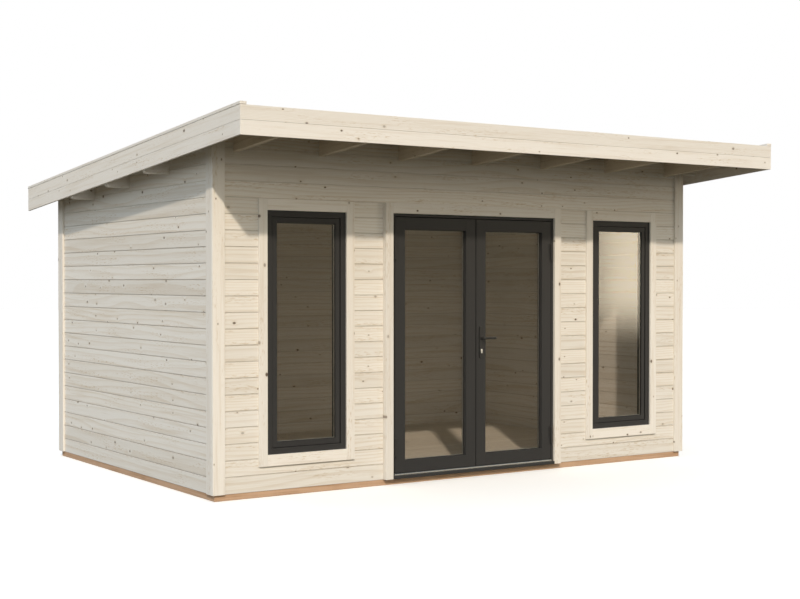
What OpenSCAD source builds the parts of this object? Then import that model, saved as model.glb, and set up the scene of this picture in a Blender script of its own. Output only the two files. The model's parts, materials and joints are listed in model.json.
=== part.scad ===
// Garden office pod: a log-board cabin with a single-slope roof, glazed double doors and two tall windows.
// Millimetres, +Z up, front towards -Y, origin on the ground at the middle of the roof's outline.

/* [Walls] */
// Outer length of the front and back walls
wall_length = 4446; // [4200:2:5400]
// Outer depth of the cabin, front wall face to back wall face
wall_depth = 3004; // [2600:2:3600]
// Thickness of the wall logs
wall_thick = 44; // [34:1:60]
// Height of the front wall at its outer face
wall_height = 2500; // [2400:5:2700]
// Cover height of one wall log
log_cover = 114; // [95:1:140]
// Depth of the V-joint between two logs, on both faces
log_joint = 3; // [1:0.5:6]
// Number of logs below the ones that run over the openings
header_course = 19; // [19:1:20]
// Height of the log ends that reach out to the side fascias
ear_height = 106; // [60:1:130]

/* [Base] */
// Height of the ground bearers
bearer_height = 45; // [30:1:90]
// Width of the ground bearers
bearer_width = 70; // [45:1:100]
// Set-back of the bearers from the wall faces
bearer_inset = 4; // [0:1:20]
// Number of bearers that run front to back
bearer_count = 9; // [5:1:13]
// Thickness of the floor boards
floor_thick = 19; // [16:1:32]

/* [Corner boards] */
// Thickness of corner boards and window trims
trim_thick = 18; // [12:1:28]
// Width of the corner boards on the front and back
corner_front_width = 95; // [60:1:120]
// Width of the corner boards on the sides
corner_side_width = 88; // [60:1:120]

/* [Roof] */
// Slope of the roof, falling to the back, in degrees
roof_slope = 4.35; // [2:0.05:6]
// Overhang in front of the front wall
front_overhang = 818; // [400:2:1000]
// Overhang behind the back wall
back_overhang = 220; // [120:2:400]
// Overhang at each side
side_overhang = 213; // [120:1:320]
// Thickness of the roof boards
deck_thick = 18; // [16:1:28]
// Thickness of the roofing felt
felt_thick = 3; // [2:0.5:6]
// Height of the purlins
purlin_height = 195; // [150:1:220]
// Thickness of purlins and joists
beam_thick = 45; // [36:1:70]
// Distance from the front wall face to the first purlin
purlin_start = 729; // [600:1:900]
// Distance from one purlin to the next
purlin_spacing = 736; // [600:1:800]
// Number of purlins
purlin_count = 3; // [2:1:3]
// Radius of the rounded lower corner of each purlin end
purlin_round = 34; // [10:1:80]
// Height of the joists in the front and back overhangs
joist_height = 132; // [90:1:145]
// Height of the back joists' tapered ends
joist_tail = 70; // [40:1:85]
// Distance from one joist to the next, counted from the middle
joist_spacing = 683; // [300:1:1000]
// Least distance from the outermost joists to the wall's end
joist_margin = 100; // [60:1:160]
// Number of fascia boards at the front and sides, one under the other
fascia_boards = 2; // [1:1:2]
// Number of fascia boards at the back
back_fascia_boards = 1; // [1:1:2]
// Height of one fascia board
fascia_height = 95; // [80:1:120]
// Thickness of the fascia boards
fascia_thick = 18; // [14:1:28]
// Open joint between two fascia boards
fascia_joint = 1; // [0.5:0.5:4]
// Height of the edge strips on the side fascias
strip_height = 20; // [12:1:40]
// Width of the edge strips
strip_width = 48; // [30:1:80]
// How far an edge strip stands out from the side fascia
strip_lip = 3; // [0:1:10]

/* [Windows] */
// Clear width between a window's side trims
window_width = 650; // [500:2:720]
// Clear height between a window's head and sill trims
window_height = 1720; // [1200:5:1760]
// Height of the window opening above the wall's foot
window_sill = 251; // [200:1:300]
// Left window's centre line, measured from the door's centre line
window_left_offset = 1490; // [1400:1:1530]
// Right window's centre line, measured from the door's centre line
window_right_offset = 1533; // [1400:1:1550]
// Width of the side trims of windows and door
side_trim_width = 66; // [45:1:80]
// Width of the head and sill trims of the windows
cross_trim_width = 80; // [50:1:110]
// Face width of the window frame
window_frame_width = 44; // [30:1:60]
// How far the window frame reaches behind the trims
window_frame_lap = 8; // [0:1:20]
// Face width of the window sash
sash_width = 38; // [30:1:70]
// Set-back of the sash face from the frame face
sash_setback = 5; // [4:1:20]
// Depth and reach of the stop behind the sash
sash_stop = 10; // [6:1:20]
// Open line between sash and frame
sash_gap = 3; // [2:1:6]
// Depth of the sash's front lip
sash_lip = 8; // [6:1:34]
// Extra depth of the windows' glazing beads
window_bead_extra = 18; // [0:1:24]

/* [Glazing] */
// Thickness of one pane of glass
pane_thick = 4; // [3:1:6]
// Air space between the two panes
pane_gap = 8; // [6:1:16]
// Depth of the glazing beads, front to back
bead_depth = 6; // [5:1:14]
// Width of the glazing rebate
rebate_width = 14; // [8:1:20]
// Room between a pane's edge and its rebate
pane_play = 2; // [1:1:4]

/* [Door] */
// Clear width between the door's side casings
door_width = 1554; // [1400:2:1640]
// Height of the door frame above the wall's foot
door_height = 1976; // [1900:2:2000]
// Thickness of the door casing
casing_thick = 46; // [28:1:60]
// Height of the head casing
casing_head_height = 76; // [50:1:100]
// Set-back of the door's face from the casing's face
door_setback = 21; // [6:1:26]
// Face width of the door frame beside the leaves
door_frame_width = 22; // [15:1:40]
// Depth of the door frame, front to back
door_frame_depth = 77; // [70:1:100]
// How far the door stop stands in behind the leaves
door_stop = 20; // [12:1:30]
// Thickness of the door leaves
leaf_thick = 56; // [48:1:64]
// Width of the leaf's stiles and rails
stile_width = 90; // [80:1:120]
// Depth of the leaf's front lip in front of the glass
leaf_lip = 34; // [24:1:38]
// Running gap round the leaves
leaf_gap = 5; // [4:0.5:8]
// Gap between the two leaves
meeting_gap = 8; // [6:0.5:12]
// Height of the timber threshold
threshold_height = 25; // [20:1:40]
// Height of the metal threshold strip
threshold_strip_height = 11; // [6:1:16]
// How far the threshold strip stands out from the door's face
threshold_nose = 6; // [0:1:12]

/* [Hinges] */
// Outer diameter of the hinge barrels
barrel_d = 18; // [14:0.5:22]
// Length of one barrel, both knuckles
barrel_length = 140; // [90:1:180]
// Diameter of the hinge pins
pin_d = 9; // [6:0.5:11]
// Radial running clearance of pins and spindle
running_gap = 0.05; // [0.02:0.01:0.1]
// Lower hinge's middle above the wall's foot
hinge_low = 235; // [200:1:500]
// Upper hinge's middle above the wall's foot
hinge_high = 1702; // [1400:1:1780]
// Thickness of the hinge plates
hinge_plate_thick = 4; // [3:0.5:6]
// Room between a barrel and the door's face
barrel_gap = 1; // [0.5:0.5:3]
// Reach of a hinge plate from the pin
hinge_plate_reach = 21; // [16:1:24]

/* [Handle] */
// Height of the lever above the wall's foot
lever_height = 1030; // [900:1:1150]
// Length of the lever from its spindle
lever_length = 115; // [90:1:140]
// Diameter of the lever's neck
neck_d = 18; // [14:0.5:22]
// How far the lever stands out from the plate
lever_reach = 46; // [36:1:60]
// Thickness of the lever's grip
grip_thick = 12; // [8:1:16]
// Diameter of the spindle
spindle_d = 10; // [8:0.5:12]
// Height of the handle's back plate
plate_height = 245; // [220:1:270]
// Width of the handle's back plate
plate_width = 34; // [30:1:42]
// Thickness of the handle's back plate
plate_thick = 9; // [5:1:12]
// Corner radius of the handle's back plate
plate_radius = 8; // [2:0.5:14]
// Length of the back plate above the lever
plate_above = 91; // [40:1:100]
// Distance from lever to lock cylinder
lock_drop = 92; // [72:1:100]
// Diameter of the lock cylinder's round part
lock_d = 17; // [14:0.5:19]
// Height of the lock cylinder's profile
lock_height = 33; // [28:1:36]
// Width of the lock cylinder's lower part
lock_web = 10; // [8:0.5:12]
// How far the lock cylinder stands out from the plate
lock_out = 3; // [1:0.5:6]
// Room round the lock cylinder in leaf and plates
lock_play = 0.2; // [0.1:0.1:0.5]

/* [Hidden] */
$fn = 48;

// Room for cutting tools to run past a face
over = 50;
// Clearance between faces that turn against each other
turn_gap = 0.3;
// Bedding gap under boards that lie on the slope
bed_gap = 0.1;

roof_fall = tan(roof_slope);
roof_width = wall_length + 2 * side_overhang;
roof_depth = wall_depth + front_overhang + back_overhang;
roof_front = -roof_depth / 2;
roof_back = roof_depth / 2;
wall_front = roof_front + front_overhang;
wall_back_y = wall_front + wall_depth;
wall_foot = bearer_height;
wall_end = wall_length / 2;
log_joints = floor(wall_height / log_cover);
header_foot = wall_foot + header_course * log_cover;
roof_cover = deck_thick + felt_thick;
beam_end = roof_width / 2 - fascia_thick;
ear_foot = wall_height - ear_height;
joists_each_side = floor((wall_end - joist_margin) / joist_spacing);

window_hole_width = window_width + 2 * window_frame_lap;
window_hole_height = window_height + 2 * window_frame_lap;
sash_hole_width = window_width - 2 * window_frame_width;
sash_hole_height = window_height - 2 * window_frame_width;
glazing_depth = 2 * pane_thick + pane_gap + bead_depth;
sash_depth = sash_lip + glazing_depth + window_bead_extra;
window_frame_depth = sash_setback + sash_depth + sash_stop;
window_centres = [-window_left_offset, window_right_offset];
window_foot = wall_foot + window_sill;

door_half = door_width / 2;
door_face = wall_front - casing_thick + door_setback;
door_top = wall_foot + door_height;
leaf_foot = wall_foot + threshold_height + threshold_strip_height + leaf_gap;
leaf_top = door_top - door_frame_width - leaf_gap;
leaf_outer = door_half - door_frame_width - leaf_gap;
leaf_inner = meeting_gap / 2;
leaf_width = leaf_outer - leaf_inner;
leaf_height = leaf_top - leaf_foot;
leaf_back = door_face + leaf_thick;

hinge_x = leaf_outer + leaf_gap / 2;
hinge_y = door_face - barrel_d / 2 - barrel_gap;
hinge_heights = [wall_foot + hinge_low, wall_foot + hinge_high];
pin_length = 0.9 * barrel_length;

handle_x = leaf_inner + stile_width / 2;
lever_z = wall_foot + lever_height;
lock_z = lever_z - lock_drop;

log_colour = "#e6d9c2";
trim_colour = "#ead0ab";
treated_colour = "#c08a5c";
floor_colour = "#d8bf9a";
felt_colour = "#3a3a3c";
frame_colour = "#3b3a38";
glass_colour = [0.45, 0.5, 0.5, 0.4];
metal_colour = "#b5b5b0";

// Height of the roof boards' underside at depth y
function roof_under(y) = wall_foot + wall_height - roof_fall * (y - wall_front);

// Side view of a board that follows the roof from y0 to y1, its top at a height over the boards' underside
function roof_strip(y0, y1, top, height) = [
    [y0, roof_under(y0) + top - height],
    [y1, roof_under(y1) + top - height],
    [y1, roof_under(y1) + top],
    [y0, roof_under(y0) + top]
];

// Extrudes a side view of [y, z] points along X
module along_x(points, x, length) {
    translate([x, 0, 0]) rotate([90, 0, 90]) linear_extrude(length) polygon(points);
}

// Extrudes a front view of [x, z] points along Y
module along_y(points, y, depth) {
    translate([0, y + depth, 0]) rotate([90, 0, 0]) linear_extrude(depth) polygon(points);
}

// A box between two corners
module block(low, high) {
    translate(low) cube(high - low);
}

// One copy as drawn and one mirrored left to right
module both_sides() {
    children();
    mirror([1, 0, 0]) children();
}

// The space above the underside of the roof boards
module above_roof() {
    along_x(roof_strip(roof_front - over, roof_back + over, wall_height, wall_height), -roof_width, 2 * roof_width);
}

// A rectangular ring with a rebate at its back, standing with its face at y
module glazed_ring(width, height, face, y, lip, depth) {
    difference() {
        block([-width / 2, y, 0], [width / 2, y + depth, height]);
        block([face - width / 2, y - over, face], [width / 2 - face, y + depth + over, height - face]);
        block(
            [face - rebate_width - width / 2, y + lip, face - rebate_width],
            [width / 2 - face + rebate_width, y + depth + over, height - face + rebate_width]
        );
    }
}

// The two panes in such a ring
module ring_panes(width, height, face, y, lip) {
    edge = face - rebate_width + pane_play;
    for (step = [0, pane_thick + pane_gap])
        block(
            [edge - width / 2, y + lip + step, edge],
            [width / 2 - edge, y + lip + step + pane_thick, height - edge]
        );
}

// The bead that holds the panes in such a ring
module ring_bead(width, height, face, y, lip, depth) {
    back = lip + 2 * pane_thick + pane_gap;
    edge = face - rebate_width;
    difference() {
        block([edge - width / 2, y + back, edge], [width / 2 - edge, y + depth, height - edge]);
        block([face - width / 2, y, face], [width / 2 - face, y + depth + over, height - face]);
    }
}

// Base

module bearers_long() color(treated_colour) {
    reach = wall_end - bearer_inset;
    for (y = [wall_front + bearer_inset, wall_back_y - bearer_inset - bearer_width])
        block([-reach, y, 0], [reach, y + bearer_width, bearer_height]);
}

module bearers_cross() color(treated_colour) {
    first = bearer_inset + bearer_width / 2 - wall_end;
    pitch = -2 * first / (bearer_count - 1);
    front = wall_front + bearer_inset + bearer_width;
    back = wall_back_y - bearer_inset - bearer_width;
    for (i = [0 : bearer_count - 1])
        translate([first + i * pitch, 0, 0])
            block([-bearer_width / 2, front, 0], [bearer_width / 2, back, bearer_height]);
}

module floor_boards() color(floor_colour) {
    reach = wall_end - wall_thick;
    difference() {
        block(
            [-reach, wall_front + wall_thick, wall_foot],
            [reach, wall_back_y - wall_thick, wall_foot + floor_thick]
        );
        block(
            [-door_half, wall_front, wall_foot - over],
            [door_half, door_face + door_frame_depth, wall_foot + over]
        );
    }
}

// Walls

// A bar that cuts the V-joint between two logs along X, centred on the wall face at y
module joint_bar_x(y, z) {
    d = log_joint;
    along_x([[y - d, z], [y, z - d], [y + d, z], [y, z + d]], -roof_width / 2, roof_width);
}

// The V-joints on both faces of a wall that runs along X with its outer face at y
module log_joints_x(y, inward) {
    for (i = [1 : log_joints], face = [y, y + inward * wall_thick])
        joint_bar_x(face, wall_foot + i * log_cover);
}

// The V-joints on both faces of the right wall
module log_joints_y() {
    d = log_joint;
    for (i = [1 : log_joints], x = [wall_end - wall_thick, wall_end]) {
        z = wall_foot + i * log_cover;
        along_y([[x - d, z], [x, z - d], [x + d, z], [x, z + d]], wall_front, wall_depth);
    }
}

// The holes for both windows, through the front wall
module window_holes() {
    half = window_hole_width / 2;
    foot = window_foot - window_frame_lap;
    for (x = window_centres)
        block(
            [x - half, wall_front - over, foot],
            [x + half, wall_front + wall_thick + over, foot + window_hole_height]
        );
}

// The hole for the door, through the front wall
module door_hole() {
    block([-door_half, wall_front - over, 0], [door_half, wall_front + wall_thick + over, door_top]);
}

// The front wall below the courses that run through, from x0 to x1
module front_wall_side(x0, x1) {
    difference() {
        block([x0, wall_front, wall_foot], [x1, wall_front + wall_thick, header_foot]);
        window_holes();
        log_joints_x(wall_front, 1);
    }
}

module wall_front_left() color(log_colour) {
    front_wall_side(-wall_end, -door_half);
}

module wall_front_right() color(log_colour) {
    front_wall_side(door_half, wall_end);
}

// The logs over the openings, with ears out to the side fascias and notches for the joists
module wall_front_header() color(log_colour) {
    back = wall_front + wall_thick;
    top = wall_foot + wall_height + over;
    difference() {
        union() {
            block([-wall_end, wall_front, header_foot], [wall_end, back, top]);
            block([-beam_end, wall_front, wall_foot + ear_foot], [beam_end, back, top]);
            block([-door_half, wall_front, wall_foot], [door_half, back, header_foot + over]);
        }
        door_hole();
        window_holes();
        above_roof();
        front_joist_row();
        log_joints_x(wall_front, 1);
    }
}

// One side wall, drawn on the right
module side_wall() {
    front = wall_front + wall_thick;
    back = wall_back_y - wall_thick;
    difference() {
        along_x(
            [[front, wall_foot], [back, wall_foot], [back, roof_under(back)], [front, roof_under(front)]],
            wall_end - wall_thick, wall_thick
        );
        purlin_row();
        log_joints_y();
    }
}

module wall_left() color(log_colour) {
    mirror([1, 0, 0]) side_wall();
}

module wall_right() color(log_colour) {
    side_wall();
}

module wall_back() color(log_colour) {
    back_top = roof_under(wall_back_y);
    ear_z = back_top - ear_height;
    front = wall_back_y - wall_thick;
    difference() {
        union() {
            block([-wall_end, front, wall_foot], [wall_end, wall_back_y, back_top + over]);
            block([-beam_end, front, ear_z], [beam_end, wall_back_y, back_top + over]);
        }
        above_roof();
        back_joist_row();
        log_joints_x(wall_back_y, -1);
    }
}

// Corner boards

module corner_boards_front() color(trim_colour) {
    outer = wall_end + trim_thick;
    both_sides()
        block(
            [outer - corner_front_width, wall_front - trim_thick, wall_foot],
            [outer, wall_front, roof_under(wall_front)]
        );
}

module corner_boards_back() color(trim_colour) {
    outer = wall_end + trim_thick;
    both_sides()
        block(
            [outer - corner_front_width, wall_back_y, wall_foot],
            [outer, wall_back_y + trim_thick, roof_under(wall_back_y + trim_thick)]
        );
}

module corner_boards_sides() color(trim_colour) {
    both_sides() {
        block(
            [wall_end, wall_front, wall_foot],
            [wall_end + trim_thick, wall_front + corner_side_width, wall_foot + ear_foot]
        );
        block(
            [wall_end, wall_back_y - corner_side_width, wall_foot],
            [wall_end + trim_thick, wall_back_y, roof_under(wall_back_y) - ear_height]
        );
    }
}

// Roof

// One purlin with its front face at y, its top cut to the slope and its ends rounded underneath
module purlin(y) {
    foot = roof_under(y) - purlin_height;
    depth = beam_thick + 2 * over;
    difference() {
        along_x(
            [
                [y, foot], [y + beam_thick, foot],
                [y + beam_thick, roof_under(y + beam_thick)], [y, roof_under(y)]
            ],
            -beam_end, 2 * beam_end
        );
        both_sides()
            translate([beam_end - purlin_round, y - over, foot + purlin_round])
                difference() {
                    block([0, 0, -purlin_round - over], [purlin_round + over, depth, 0]);
                    translate([0, -over, 0])
                        rotate([-90, 0, 0]) cylinder(r = purlin_round, h = depth + 2 * over);
                }
    }
}

function purlin_y(i) = wall_front + purlin_start + i * purlin_spacing;

module purlin_row() {
    for (i = [0 : purlin_count - 1])
        purlin(purlin_y(i));
}

// A row of joists with a side view of [y, z] points
module joist_row(points) {
    for (i = [-joists_each_side : joists_each_side])
        along_x(points, i * joist_spacing - beam_thick / 2, beam_thick);
}

module front_joist_row() {
    joist_row(roof_strip(roof_front + fascia_thick, purlin_y(0), 0, joist_height));
}

// The ends of these joists taper from the wall to the fascia
module back_joist_row() {
    start = purlin_y(purlin_count - 1) + beam_thick;
    end = roof_back - fascia_thick;
    joist_row([
        [start, roof_under(start) - joist_height], [wall_back_y, roof_under(wall_back_y) - joist_height],
        [end, roof_under(end) - joist_tail], [end, roof_under(end)], [start, roof_under(start)]
    ]);
}

module purlins() color(trim_colour) {
    purlin_row();
}

module front_joists() color(trim_colour) {
    front_joist_row();
}

module back_joists() color(trim_colour) {
    back_joist_row();
}

// A sheet over the whole roof inside the fascias
module roof_sheet(top, thick) {
    along_x(roof_strip(roof_front + fascia_thick, roof_back - fascia_thick, top, thick), -beam_end, 2 * beam_end);
}

module roof_deck() color(trim_colour) {
    roof_sheet(deck_thick, deck_thick - bed_gap);
}

module roof_felt() color(felt_colour) {
    roof_sheet(roof_cover, felt_thick);
}

// How far fascia board number i hangs below the first one
function fascia_drop(i) = i * (fascia_height + fascia_joint);

// Plumb fascia boards, reaching to both sides, with their back at the low side of the roof's edge
module end_fascia(y, boards, reach) {
    top = roof_under(y + fascia_thick) + roof_cover;
    for (i = [0 : boards - 1])
        block(
            [-reach, y, top - fascia_drop(i) - fascia_height],
            [reach, y + fascia_thick, top - fascia_drop(i)]
        );
}

module fascia_front() color(trim_colour) {
    end_fascia(roof_front, fascia_boards, roof_width / 2);
}

module fascia_back() color(trim_colour) {
    end_fascia(roof_back - fascia_thick, back_fascia_boards, beam_end);
}

// The fascia boards along one side, drawn on the right, as far as the roof's back edge
module side_fascia() {
    for (i = [0 : fascia_boards - 1])
        along_x(
            roof_strip(roof_front + fascia_thick, roof_back, roof_cover - fascia_drop(i), fascia_height),
            beam_end, fascia_thick
        );
}

module fascia_left() color(trim_colour) {
    mirror([1, 0, 0]) side_fascia();
}

module fascia_right() color(trim_colour) {
    side_fascia();
}

module roof_edge_strips() color(trim_colour) {
    both_sides()
        along_x(
            roof_strip(roof_front, roof_back, roof_cover + strip_height, strip_height - bed_gap),
            roof_width / 2 + strip_lip - strip_width, strip_width
        );
}

// Windows

// Draws its children at each window, with the window's sill at their z = 0
module at_windows() {
    for (x = window_centres)
        translate([x, 0, window_foot]) children();
}

module window_frames() color(frame_colour) {
    lap = window_frame_lap;
    stop_y = wall_front + sash_setback + sash_depth;
    edge = window_frame_width;
    inner = edge + sash_stop;
    at_windows()
        difference() {
            block(
                [-window_hole_width / 2, wall_front, -lap],
                [window_hole_width / 2, wall_front + window_frame_depth, window_height + lap]
            );
            block(
                [edge - window_width / 2, wall_front - over, edge],
                [window_width / 2 - edge, stop_y, window_height - edge]
            );
            block(
                [inner - window_width / 2, wall_front, inner],
                [window_width / 2 - inner, stop_y + over, window_height - inner]
            );
        }
}

// Draws its children at each window, with the sash's foot at their z = 0
module at_sashes() {
    at_windows() translate([0, wall_front + sash_setback, window_frame_width + sash_gap]) children();
}

module window_sashes() color(frame_colour) {
    at_sashes()
        glazed_ring(
            sash_hole_width - 2 * sash_gap, sash_hole_height - 2 * sash_gap, sash_width,
            0, sash_lip, sash_depth
        );
}

module window_panes() color(glass_colour) {
    at_sashes()
        ring_panes(
            sash_hole_width - 2 * sash_gap, sash_hole_height - 2 * sash_gap, sash_width,
            0, sash_lip
        );
}

module window_beads() color(frame_colour) {
    at_sashes()
        ring_bead(
            sash_hole_width - 2 * sash_gap, sash_hole_height - 2 * sash_gap, sash_width,
            0, sash_lip, sash_depth
        );
}

module window_side_trims() color(trim_colour) {
    inner = window_width / 2;
    at_windows()
        both_sides()
            block(
                [inner, wall_front - trim_thick, -cross_trim_width],
                [inner + side_trim_width, wall_front, window_height + cross_trim_width]
            );
}

module window_cross_trims() color(trim_colour) {
    at_windows()
        for (z = [-cross_trim_width, window_height])
            block(
                [-window_width / 2, wall_front - trim_thick, z],
                [window_width / 2, wall_front, z + cross_trim_width]
            );
}

// Door frame and casing

module door_jambs() color(frame_colour) {
    inner = door_half - door_frame_width;
    stop_y = leaf_back + leaf_gap;
    back = door_face + door_frame_depth;
    both_sides()
        translate([0, 0, wall_foot])
            linear_extrude(door_height)
                polygon([
                    [door_half, door_face], [door_half, back], [inner - door_stop, back],
                    [inner - door_stop, stop_y], [inner, stop_y], [inner, door_face]
                ]);
}

module door_head() color(frame_colour) {
    reach = door_half - door_frame_width;
    foot = door_top - door_frame_width;
    stop_y = leaf_back + leaf_gap;
    back = door_face + door_frame_depth;
    difference() {
        along_x(
            [
                [door_face, foot], [stop_y, foot], [stop_y, foot - door_stop],
                [back, foot - door_stop], [back, door_top], [door_face, door_top]
            ],
            -reach, 2 * reach
        );
        door_jambs();
    }
}

module door_threshold() color(frame_colour) {
    reach = door_half - door_frame_width;
    difference() {
        block(
            [-reach, door_face, wall_foot],
            [reach, door_face + door_frame_depth, wall_foot + threshold_height]
        );
        door_jambs();
    }
}

module threshold_strip() color(metal_colour) {
    reach = door_half - door_frame_width;
    foot = wall_foot + threshold_height;
    block(
        [-reach, door_face - threshold_nose, foot],
        [reach, leaf_back, foot + threshold_strip_height]
    );
}

module door_side_casings() color(trim_colour) {
    both_sides()
        block(
            [door_half, wall_front - casing_thick, wall_foot],
            [door_half + side_trim_width, wall_front, door_top + casing_head_height]
        );
}

module door_head_casing() color(trim_colour) {
    block(
        [-door_half, wall_front - casing_thick, door_top],
        [door_half, wall_front, door_top + casing_head_height]
    );
}

// Door leaves, drawn on the right

// Puts children drawn about a leaf's own foot in the right leaf's place
module at_leaf() {
    translate([(leaf_inner + leaf_outer) / 2, 0, leaf_foot]) children();
}

module leaf_ring() {
    at_leaf() glazed_ring(leaf_width, leaf_height, stile_width, door_face, leaf_lip, leaf_thick);
}

// The space between a leaf's stiles
module leaf_middle() {
    block(
        [leaf_inner + stile_width, door_face - over, leaf_foot - over],
        [leaf_outer - stile_width, leaf_back + over, leaf_top + over]
    );
}

module leaf_stiles() {
    difference() {
        leaf_ring();
        leaf_middle();
    }
}

module leaf_rails() {
    intersection() {
        leaf_ring();
        leaf_middle();
    }
}

module leaf_panes() {
    at_leaf() ring_panes(leaf_width, leaf_height, stile_width, door_face, leaf_lip);
}

module leaf_beads() {
    at_leaf() ring_bead(leaf_width, leaf_height, stile_width, door_face, leaf_lip, leaf_thick);
}

module leaf_left_stiles() color(frame_colour) {
    mirror([1, 0, 0]) leaf_stiles();
}

module leaf_left_rails() color(frame_colour) {
    mirror([1, 0, 0]) leaf_rails();
}

module leaf_left_panes() color(glass_colour) {
    mirror([1, 0, 0]) leaf_panes();
}

module leaf_left_beads() color(frame_colour) {
    mirror([1, 0, 0]) leaf_beads();
}

module leaf_right_stiles() color(frame_colour) {
    difference() {
        leaf_stiles();
        translate([handle_x, door_face - over, lever_z])
            rotate([-90, 0, 0]) cylinder(d = spindle_d + 2 * running_gap, h = leaf_thick + 2 * over);
        lock_profile(door_face - over, leaf_thick + 2 * over, lock_play);
    }
}

module leaf_right_rails() color(frame_colour) {
    leaf_rails();
}

module leaf_right_panes() color(glass_colour) {
    leaf_panes();
}

module leaf_right_beads() color(frame_colour) {
    leaf_beads();
}

// Hinges

// A flat plate beside the pin, on the frame's or the leaf's face
module hinge_plate(x0, x1, z0, z1) {
    block([x0, door_face - hinge_plate_thick, z0], [x1, door_face, z1]);
}

module hinge_pins() color(frame_colour) {
    half = barrel_length / 2;
    both_sides()
        for (z = hinge_heights) {
            translate([hinge_x, hinge_y, z - half]) {
                cylinder(d = barrel_d, h = half);
                cylinder(d = pin_d, h = pin_length);
            }
            hinge_plate(hinge_x, hinge_x + hinge_plate_reach, z - half, z);
        }
}

// The knuckles of the right leaf's hinges
module leaf_knuckles() {
    half = barrel_length / 2;
    for (z = hinge_heights)
        difference() {
            union() {
                translate([hinge_x, hinge_y, z + turn_gap]) cylinder(d = barrel_d, h = half - turn_gap);
                hinge_plate(hinge_x - hinge_plate_reach, hinge_x, z + turn_gap, z + half);
            }
            translate([hinge_x, hinge_y, z - half])
                cylinder(d = pin_d + 2 * running_gap, h = pin_length + turn_gap);
        }
}

module hinge_knuckles_left() color(frame_colour) {
    mirror([1, 0, 0]) leaf_knuckles();
}

module hinge_knuckles_right() color(frame_colour) {
    leaf_knuckles();
}

// Handle and lock

// The profile of the lock cylinder, from y on, with some room round it
module lock_profile(y, depth, play) {
    web = lock_web + 2 * play;
    drop = lock_height - lock_d / 2 - lock_web / 2;
    translate([handle_x, y, lock_z]) {
        rotate([-90, 0, 0]) cylinder(d = lock_d + 2 * play, h = depth);
        translate([0, 0, -drop]) rotate([-90, 0, 0]) cylinder(d = web, h = depth);
        translate([-web / 2, 0, -drop]) cube([web, depth, drop]);
    }
}

// A back plate with rounded corners, from y on
module back_plate(y) {
    foot = lever_z + plate_above - plate_height;
    reach = plate_width / 2 - plate_radius;
    translate([handle_x, y, foot]) {
        block([-plate_width / 2, 0, plate_radius], [plate_width / 2, plate_thick, plate_height - plate_radius]);
        block([-reach, 0, 0], [reach, plate_thick, plate_height]);
        for (x = [-reach, reach], z = [plate_radius, plate_height - plate_radius])
            translate([x, 0, z]) rotate([-90, 0, 0]) cylinder(r = plate_radius, h = plate_thick);
    }
}

module handle_plates() color(frame_colour) {
    difference() {
        for (y = [door_face - plate_thick, leaf_back])
            back_plate(y);
        translate([handle_x, door_face - over, lever_z])
            rotate([-90, 0, 0]) cylinder(d = spindle_d + 2 * running_gap, h = leaf_thick + 2 * over);
        lock_profile(door_face - over, leaf_thick + 2 * over, lock_play);
    }
}

// One lever with its neck, standing out towards -Y from y
module lever(y) {
    translate([handle_x, y, lever_z]) {
        rotate([90, 0, 0]) cylinder(d = neck_d, h = lever_reach);
        translate([0, grip_thick - lever_reach, -neck_d / 2])
            mirror([0, 1, 0]) cube([lever_length - neck_d / 2, grip_thick, neck_d]);
        translate([lever_length - neck_d / 2, grip_thick - lever_reach, 0])
            rotate([90, 0, 0]) cylinder(d = neck_d, h = grip_thick);
    }
}

module handle_lever() color(frame_colour) {
    outer = door_face - plate_thick - turn_gap;
    inner = leaf_back + plate_thick + turn_gap;
    lever(outer);
    mirror([0, 1, 0]) lever(-inner);
    translate([handle_x, outer - grip_thick, lever_z])
        rotate([-90, 0, 0]) cylinder(d = spindle_d, h = inner - outer + 2 * grip_thick);
}

module lock_cylinder() color(metal_colour) {
    front = door_face - plate_thick - lock_out;
    lock_profile(front, leaf_thick + 2 * (plate_thick + lock_out), 0);
}

bearers_long();
bearers_cross();
floor_boards();
wall_front_left();
wall_front_right();
wall_front_header();
wall_left();
wall_right();
wall_back();
corner_boards_front();
corner_boards_back();
corner_boards_sides();
purlins();
front_joists();
back_joists();
roof_deck();
roof_felt();
fascia_front();
fascia_back();
fascia_left();
fascia_right();
roof_edge_strips();
window_frames();
window_sashes();
window_panes();
window_beads();
window_side_trims();
window_cross_trims();
door_jambs();
door_head();
door_threshold();
threshold_strip();
door_side_casings();
door_head_casing();
leaf_left_stiles();
leaf_left_rails();
leaf_left_panes();
leaf_left_beads();
leaf_right_stiles();
leaf_right_rails();
leaf_right_panes();
leaf_right_beads();
hinge_pins();
hinge_knuckles_left();
hinge_knuckles_right();
handle_plates();
handle_lever();
lock_cylinder();
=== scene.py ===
"""Looks of a garden office pod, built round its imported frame. Laid out as an add-on and run as a script."""

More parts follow.
